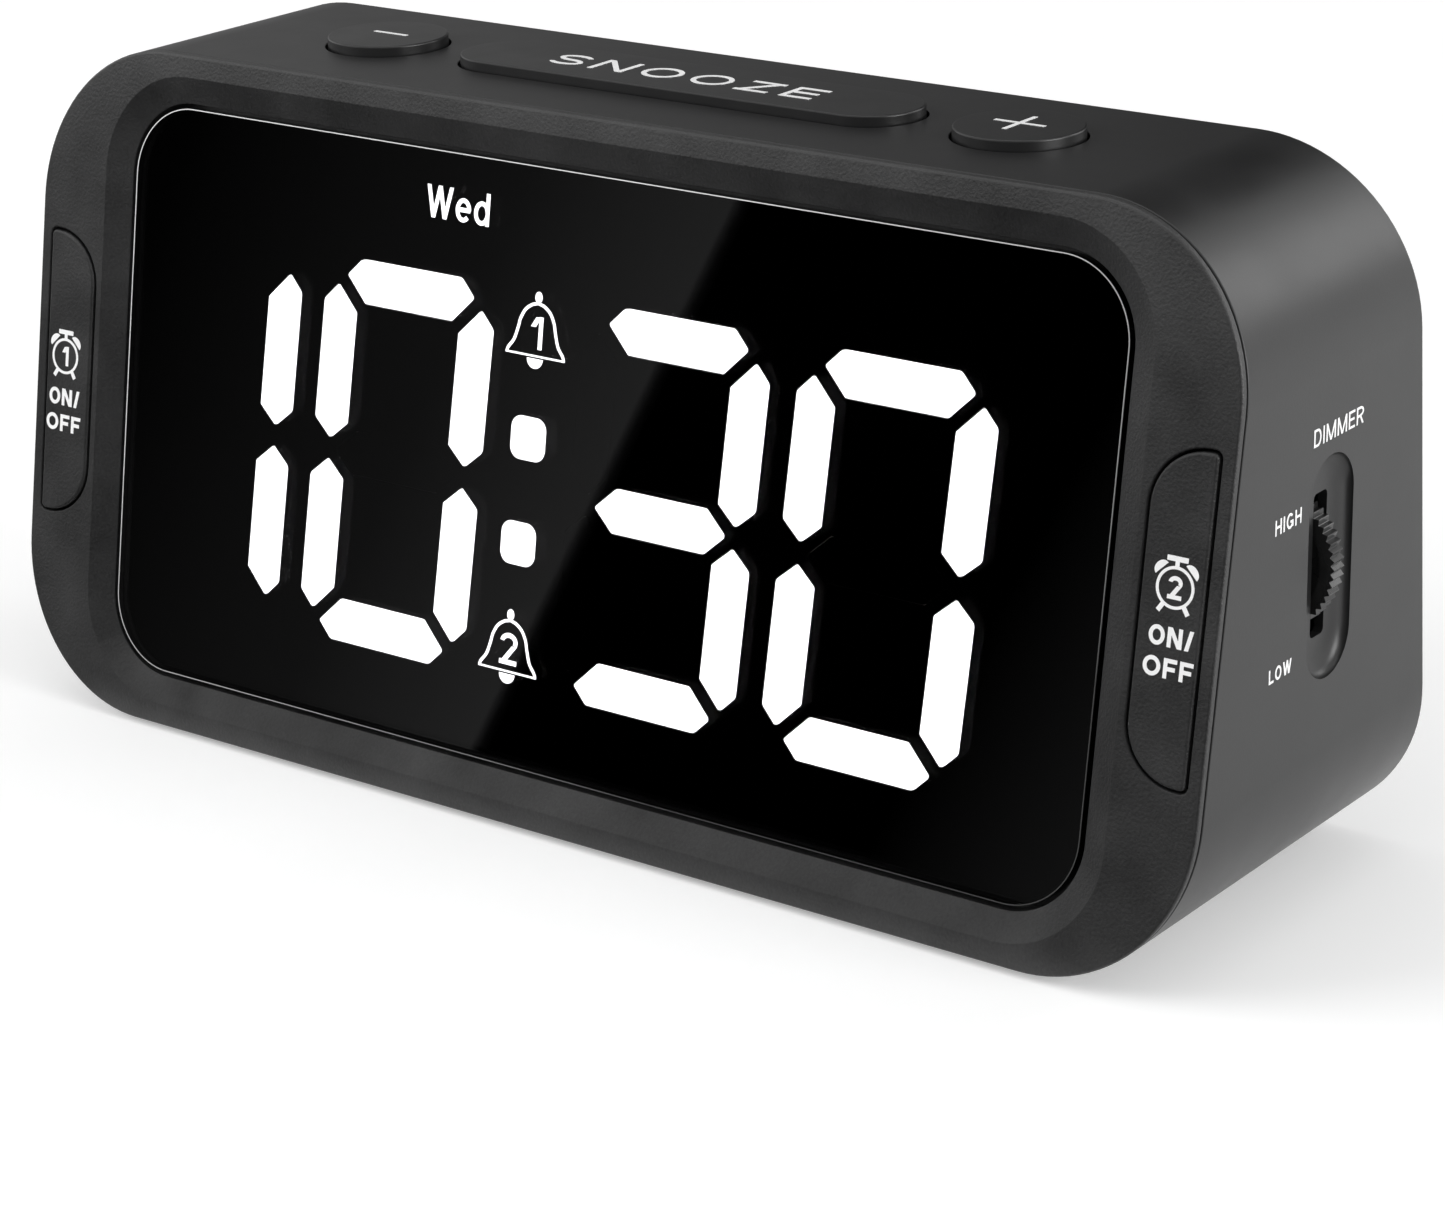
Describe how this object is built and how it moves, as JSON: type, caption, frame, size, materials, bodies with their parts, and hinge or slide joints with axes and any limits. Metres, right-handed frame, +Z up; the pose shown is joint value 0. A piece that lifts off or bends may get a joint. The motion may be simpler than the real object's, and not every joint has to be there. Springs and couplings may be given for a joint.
{
  "type": "digital alarm clock",
  "caption": "Digital alarm clock with a leaning round-cornered case, a large lit segment display, keys on its top, face and back, a side dimmer wheel and a battery bay.",
  "frame": {"origin": "centre of the clock's base outline, on the plane of its feet's undersides", "axes": "+X to the clock's right as seen from its front, where the dimmer is; -Y out of its face; +Z up"},
  "size_m": [0.141, 0.0452, 0.0688],
  "materials": {
    "case_black": "fine-grained matt black moulding",
    "key_black": "matt black moulding, white printed legends",
    "lens_smoke": "smoked clear acrylic, polished",
    "mask_black": "black film",
    "diffuser_white": "milky light guide, lit from behind",
    "reflector_white": "white moulding",
    "board_green": "fibreglass circuit board with green resist",
    "switch_black": "black moulded component",
    "foot_rubber": "matt black rubber",
    "screw_steel": "zinc-plated steel",
    "spring_steel": "nickel-plated spring wire",
    "cell_wrap": "plain blue wrap",
    "cable_grey": "grey flat cable",
    "jack_black": "black moulded socket"
  },
  "bodies": {
    "case": {"front_bezel": "case_black", "housing": "case_black", "back_cover": "case_black", "battery_tray": "case_black", "display_lens": "lens_smoke", "display_mask": "mask_black", "digit_1_light_guide": "diffuser_white", "digit_2_light_guide": "diffuser_white", "digit_3_light_guide": "diffuser_white", "digit_4_light_guide": "diffuser_white", "marks_light_guide": "diffuser_white", "reflector_frame": "reflector_white", "display_board": "board_green", "display_screw_1": "screw_steel", "display_screw_2": "screw_steel", "display_screw_3": "screw_steel", "display_screw_4": "screw_steel", "minus_switch": "switch_black", "snooze_switch": "switch_black", "plus_switch": "switch_black", "top_key_board": "board_green", "top_board_screw_1": "screw_steel", "top_board_screw_2": "screw_steel", "alarm_1_switch": "switch_black", "alarm_2_switch": "switch_black", "dimmer_potentiometer": "switch_black", "dimmer_board": "board_green", "time_set_switch": "switch_black", "alarm_1_set_switch": "switch_black", "alarm_2_set_switch": "switch_black", "main_board": "board_green", "main_board_screw_1": "screw_steel", "main_board_screw_2": "screw_steel", "controller_chip": "switch_black", "buzzer": "switch_black", "power_jack": "jack_black", "battery_cell_1": "cell_wrap", "battery_cell_2": "cell_wrap", "battery_spring_1": "spring_steel", "battery_spring_2": "spring_steel", "ribbon_cable": "cable_grey", "case_screw_1": "screw_steel", "case_screw_2": "screw_steel", "case_screw_3": "screw_steel", "case_screw_4": "screw_steel", "foot_1": "foot_rubber", "foot_2": "foot_rubber", "foot_3": "foot_rubber", "foot_4": "foot_rubber"},
    "minus_key": {"minus_key": "key_black"},
    "snooze_key": {"snooze_key": "key_black"},
    "plus_key": {"plus_key": "key_black"},
    "alarm_1_key": {"alarm_1_key": "key_black"},
    "alarm_2_key": {"alarm_2_key": "key_black"},
    "time_set_key": {"time_set_key": "key_black"},
    "alarm_1_set_key": {"alarm_1_set_key": "key_black"},
    "alarm_2_set_key": {"alarm_2_set_key": "key_black"},
    "dimmer_wheel": {"dimmer_wheel": "key_black"},
    "battery_door": {"battery_door": "case_black"}
  },
  "joints": [
    {"name": "minus_key_press", "type": "slide", "parent": "case", "child": "minus_key", "axis": [0, 0, -1], "range_m": [0, 0.0008], "stiffness_N_per_m": 400, "springref_m": -0.0005},
    {"name": "snooze_key_press", "type": "slide", "parent": "case", "child": "snooze_key", "axis": [0, 0, -1], "range_m": [0, 0.0008], "stiffness_N_per_m": 400, "springref_m": -0.0005},
    {"name": "plus_key_press", "type": "slide", "parent": "case", "child": "plus_key", "axis": [0, 0, -1], "range_m": [0, 0.0008], "stiffness_N_per_m": 400, "springref_m": -0.0005},
    {"name": "alarm_1_key_press", "type": "slide", "parent": "case", "child": "alarm_1_key", "axis": [0, 0.9859, -0.1675], "range_m": [0, 0.0006], "stiffness_N_per_m": 400, "springref_m": -0.0005},
    {"name": "alarm_2_key_press", "type": "slide", "parent": "case", "child": "alarm_2_key", "axis": [0, 0.9859, -0.1675], "range_m": [0, 0.0006], "stiffness_N_per_m": 400, "springref_m": -0.0005},
    {"name": "time_set_key_press", "type": "slide", "parent": "case", "child": "time_set_key", "axis": [0, -0.9966, -0.0828], "range_m": [0, 0.0006], "stiffness_N_per_m": 400, "springref_m": -0.0005},
    {"name": "alarm_1_set_key_press", "type": "slide", "parent": "case", "child": "alarm_1_set_key", "axis": [0, -0.9966, -0.0828], "range_m": [0, 0.0006], "stiffness_N_per_m": 400, "springref_m": -0.0005},
    {"name": "alarm_2_set_key_press", "type": "slide", "parent": "case", "child": "alarm_2_set_key", "axis": [0, -0.9966, -0.0828], "range_m": [0, 0.0006], "stiffness_N_per_m": 400, "springref_m": -0.0005},
    {"name": "dimmer_turn", "type": "hinge", "parent": "case", "child": "dimmer_wheel", "pos_m": [0.0644, 0.0021, 0.034], "axis": [0, 1, 0], "range_deg": [-135, 135]},
    {"name": "battery_door_hinge", "type": "hinge", "parent": "case", "child": "battery_door", "pos_m": [-0.022, 0.02034, 0.01215], "axis": [-1, 0, 0], "range_deg": [0, 90]}
  ]
}
